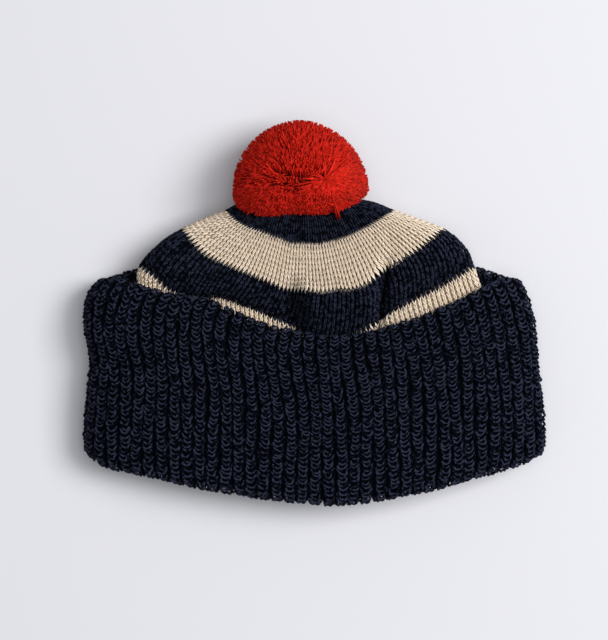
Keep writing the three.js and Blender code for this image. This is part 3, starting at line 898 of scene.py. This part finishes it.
def buildPompom():
    p = pompomSizes
    rng = np.random.default_rng(p['seed'])
    centre = pompomCentre()
    bpy.ops.mesh.primitive_ico_sphere_add(subdivisions=5, radius=p['heart'])
    ball = bpy.context.object
    ball.name = ball.data.name = 'pompomHeart'
    points = np.array([vertex.co[:] for vertex in ball.data.vertices])
    points = points * pompomRadii(points) * (1 + p['heartScatter'] * rng.random((len(points), 1))) + centre
    points[insideCrown(points), 1] = crownTop()
    ball.data.vertices.foreach_set('co', points.ravel())
    bpy.ops.object.shade_smooth()
    bpy.ops.object.select_all(action='DESELECT')
    # the heart is painted dark red: painted shade deep inside the pompom
    dress(ball, 'pompom', redPaintedShade)
    # directions over the whole ball, of which each pile keeps its own half
    count = p['frontStrands'] * 2
    roots = unit(spread(count) + rng.normal(0, p['frontScatter'], (count, 3)))
    pileStrands('pompomFront', roots[roots[:, 2] > 0], p['frontYarn'], rng)
    count = p['backStrands'] * 2
    roots = unit(spread(count) + rng.normal(0, p['backScatter'], (count, 3)))
    pileStrands('pompomBack', roots[roots[:, 2] < 0.05], p['backYarn'], rng)
    # strands that spring from the whorl and lie over the right side and the lower edge
    count = p['fanStrands']
    angle = np.radians(rng.normal(*p['fanAngle'], count))
    far = rng.uniform(*p['fanReach'], count)
    base = np.array(p['whorl'])

    def over(share, radius):
        # a place on the ball, that share of the way out from the whorl
        flat = base + share[:, None] * np.stack([np.cos(angle), np.sin(angle)], axis=-1)
        flat *= np.minimum(1, 0.97 / np.maximum(np.linalg.norm(flat, axis=1), 1e-6))[:, None]
        up = np.sqrt(np.maximum(1 - (flat ** 2).sum(axis=1), 0.02))
        direction = np.concatenate([flat, up[:, None]], axis=-1)
        return centre + direction * radius[:, None] * pompomRadii(direction)

    start = over(far * 0.06, np.full(count, 0.80))
    middle = over(far * 0.35, 1.0 + 0.03 * rng.random(count))
    end = over(far, 0.985 + 0.05 * rng.random(count))
    # the first few hang out of the ball as one loose lock
    loose = p['looseStrands']
    end[:loose] = centre + np.array(p['looseTip']) + rng.normal(0, p['looseScatter'], (loose, 3))
    middle[:loose] = (start[:loose] + end[:loose]) / 2 + np.array([0.001, 0, 0.012])
    yarnPiece('pompomFan', curves(start, middle, end, 6), p['fanYarn'], rng)


buildCuff()
buildCrown()
buildPompom()

# pale floor, soft light from the right, camera straight above
studio = {
    'photoHeight': 640,
    'pixel': 0.000565,
    'centrePixel': (304, 320),
    'hatPixel': (314.5, 313),
    'cameraHeight': 1.5,
    'outlineHeight': 0.02,  # where a pixel is as wide as stated
    'sensor': 36,
    'floorSize': 6.0,
    'floorColour': (0.60, 0.60, 0.63, 1),
    'roomColour': (0.93, 0.95, 1.0, 1),
    'roomLight': 0.30,
    'roomSeen': 0.80,
    # name, place, size and power
    'lamps': [
        ('keyRight', (1.65, 0.41, 2.12), 1.3, 70),
        ('topFill', (0.30, 0.10, 2.6), 1.8, 30),
    ],
}


def buildStudio():
    s = studio
    bpy.ops.mesh.primitive_plane_add(size=s['floorSize'], location=(0, 0, 0))
    floor = bpy.context.object
    floor.name = 'floor'
    bpy.ops.object.mode_set(mode='EDIT')
    bpy.ops.mesh.subdivide(number_cuts=4)
    bpy.ops.object.mode_set(mode='OBJECT')
    material = bpy.data.materials.new('paleFloor')
    material.use_nodes = True
    shader = material.node_tree.nodes['Principled BSDF']
    shader.inputs['Base Color'].default_value = s['floorColour']
    shader.inputs['Roughness'].default_value = 0.9
    floor.data.materials.append(material)
    world = bpy.data.worlds.new('paleRoom')
    world.use_nodes = True
    room = world.node_tree
    room.nodes['Background'].inputs['Color'].default_value = s['roomColour']
    # the room is seen paler than it lights
    seen, strength = room.nodes.new('ShaderNodeLightPath'), room.nodes.new('ShaderNodeMath')
    strength.operation = 'MULTIPLY_ADD'
    strength.inputs[1].default_value = s['roomSeen'] - s['roomLight']
    strength.inputs[2].default_value = s['roomLight']
    room.links.new(seen.outputs['Is Camera Ray'], strength.inputs[0])
    room.links.new(strength.outputs['Value'], room.nodes['Background'].inputs['Strength'])
    bpy.context.scene.world = world
    for name, spot, size, power in s['lamps']:
        bpy.ops.object.light_add(type='AREA', location=spot)
        lamp = bpy.context.object
        lamp.name = name
        lamp.data.energy = power
        lamp.data.size = size
        direction = -lamp.location.normalized()
        lamp.rotation_euler = direction.to_track_quat('-Z', 'Y').to_euler()
    camera = bpy.data.objects.new('camera', bpy.data.cameras.new('camera'))
    bpy.context.scene.collection.objects.link(camera)
    x = (s['centrePixel'][0] - s['hatPixel'][0]) * s['pixel']
    y = (s['hatPixel'][1] - s['centrePixel'][1]) * s['pixel']
    camera.location = (x, y, s['cameraHeight'])
    camera.data.sensor_fit = 'VERTICAL'
    camera.data.sensor_height = s['sensor']
    distance = s['cameraHeight'] - s['outlineHeight']
    camera.data.lens = s['sensor'] * distance / (s['photoHeight'] * s['pixel'])
    bpy.context.scene.camera = camera
    bpy.context.scene.view_settings.view_transform = 'Standard'


buildStudio()
meshes = [piece.data for piece in bpy.data.objects if piece.type == 'MESH' and not piece.hide_render]
print('triangles in all', sum(len(face.vertices) - 2 for mesh in meshes for face in mesh.polygons))
